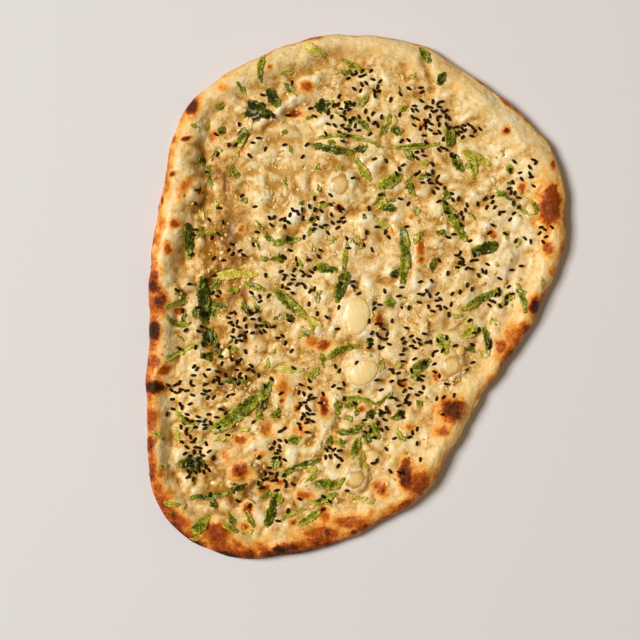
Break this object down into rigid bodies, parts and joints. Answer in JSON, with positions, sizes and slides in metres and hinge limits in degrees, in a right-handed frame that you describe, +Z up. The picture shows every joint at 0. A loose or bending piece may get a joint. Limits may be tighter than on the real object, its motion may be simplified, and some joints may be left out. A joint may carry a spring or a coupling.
{
  "type": "garlic naan",
  "caption": "Tear-shaped flatbread with a puffed, charred rim and a blistered middle, topped with garlic slices, coriander shreds and nigella seeds.",
  "frame": {"origin": "on the table under the middle of the bread's width and length", "axes": "+Z up out of the table, +Y along the length towards the broad end, +X to the right seen from above"},
  "size_m": [0.2064, 0.2576, 0.0135],
  "materials": {
    "bread": "baked dough, cream to golden with brown and black char spots and a thin film of butter",
    "seeds": "hard black seed skin, satin",
    "garlic": "soft cooked garlic, moist",
    "coriander": "wilted green leaf, buttery"
  },
  "bodies": {
    "root": {"bread": "bread", "garlic_slice_1": "garlic", "garlic_slice_2": "garlic", "garlic_slice_3": "garlic", "garlic_slice_4": "garlic", "garlic_slice_5": "garlic", "coriander_shred_01": "coriander", "coriander_shred_02": "coriander", "coriander_shred_03": "coriander", "coriander_shred_04": "coriander", "coriander_shred_05": "coriander", "coriander_shred_06": "coriander", "coriander_shred_07": "coriander", "coriander_shred_08": "coriander", "coriander_shred_09": "coriander", "coriander_shred_10": "coriander", "coriander_shred_11": "coriander", "coriander_shred_12": "coriander", "coriander_shred_13": "coriander", "coriander_shred_14": "coriander", "coriander_shred_15": "coriander", "coriander_shred_16": "coriander", "coriander_shred_17": "coriander", "coriander_shred_18": "coriander", "coriander_shred_19": "coriander", "coriander_shred_20": "coriander", "coriander_shred_21": "coriander", "coriander_shred_22": "coriander", "coriander_shred_23": "coriander", "coriander_shred_24": "coriander", "coriander_shred_25": "coriander", "coriander_shred_26": "coriander", "coriander_shred_27": "coriander", "coriander_shred_28": "coriander", "coriander_shred_29": "coriander", "coriander_shred_30": "coriander", "coriander_shred_31": "coriander", "coriander_shred_32": "coriander", "coriander_shred_33": "coriander", "coriander_shred_34": "coriander", "coriander_shred_35": "coriander", "coriander_shred_36": "coriander", "coriander_shred_37": "coriander", "coriander_shred_38": "coriander", "coriander_shred_39": "coriander", "coriander_shred_40": "coriander", "coriander_shred_41": "coriander", "coriander_shred_42": "coriander", "coriander_shred_43": "coriander", "coriander_shred_44": "coriander", "coriander_shred_45": "coriander", "coriander_shred_46": "coriander", "coriander_shred_47": "coriander", "coriander_shred_48": "coriander", "coriander_shred_49": "coriander", "coriander_shred_50": "coriander", "coriander_leaf_1": "coriander", "coriander_leaf_2": "coriander", "coriander_leaf_3": "coriander", "coriander_leaf_4": "coriander"}
  },
  "joints": []
}
